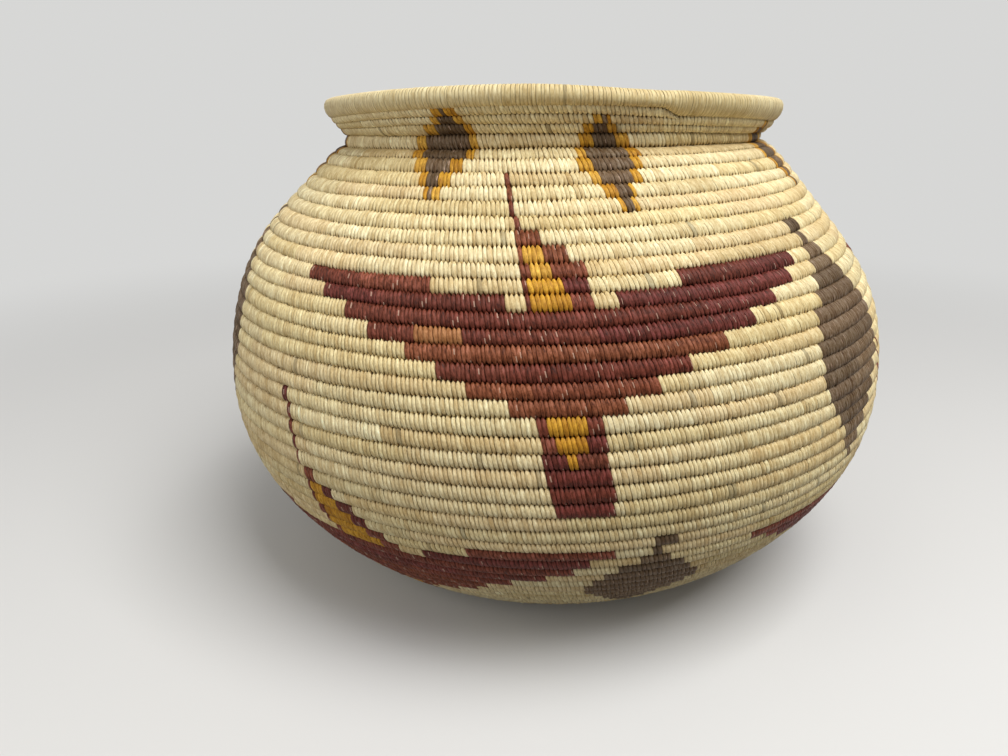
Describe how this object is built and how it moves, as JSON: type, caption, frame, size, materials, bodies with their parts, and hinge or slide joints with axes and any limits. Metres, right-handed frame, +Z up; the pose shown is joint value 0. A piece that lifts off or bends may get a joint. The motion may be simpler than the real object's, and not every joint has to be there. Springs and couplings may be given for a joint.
{
  "type": "coiled basket jar",
  "caption": "Round-bellied coiled basket jar with a narrow flared neck and a flat base, for holding dry goods.",
  "frame": {"origin": "centre of the flat base, on the surface that the basket stands on", "axes": "+Z up along the basket's axis, -Y towards the side that the picture shows"},
  "size_m": [0.4298, 0.4298, 0.3085],
  "materials": {
    "wall_palm": "dull",
    "rim_palm": "satin",
    "base_palm": "dull"
  },
  "bodies": {
    "root": {"rim_coil": "rim_palm", "neck_round_01": "wall_palm", "neck_round_02": "wall_palm", "neck_round_03": "wall_palm", "neck_round_04": "wall_palm", "shoulder_round_01": "wall_palm", "shoulder_round_02": "wall_palm", "shoulder_round_03": "wall_palm", "shoulder_round_04": "wall_palm", "shoulder_round_05": "wall_palm", "shoulder_round_06": "wall_palm", "shoulder_round_07": "wall_palm", "shoulder_round_08": "wall_palm", "shoulder_round_09": "wall_palm", "belly_round_01": "wall_palm", "belly_round_02": "wall_palm", "belly_round_03": "wall_palm", "belly_round_04": "wall_palm", "belly_round_05": "wall_palm", "belly_round_06": "wall_palm", "belly_round_07": "wall_palm", "belly_round_08": "wall_palm", "belly_round_09": "wall_palm", "belly_round_10": "wall_palm", "belly_round_11": "wall_palm", "belly_round_12": "wall_palm", "belly_round_13": "wall_palm", "belly_round_14": "wall_palm", "belly_round_15": "wall_palm", "foot_round_01": "wall_palm", "foot_round_02": "wall_palm", "foot_round_03": "wall_palm", "foot_round_04": "wall_palm", "foot_round_05": "wall_palm", "foot_round_06": "wall_palm", "foot_round_07": "wall_palm", "foot_round_08": "wall_palm", "foot_round_09": "wall_palm", "foot_round_10": "wall_palm", "foot_round_11": "wall_palm", "foot_round_12": "wall_palm", "foot_round_13": "wall_palm", "foot_round_14": "wall_palm", "foot_round_15": "wall_palm", "foot_round_16": "wall_palm", "foot_round_17": "wall_palm", "foot_round_18": "wall_palm", "foot_round_19": "wall_palm", "foot_round_20": "wall_palm", "foot_round_21": "wall_palm", "foot_round_22": "wall_palm", "base_coil": "base_palm", "start_knot": "base_palm"}
  },
  "joints": []
}
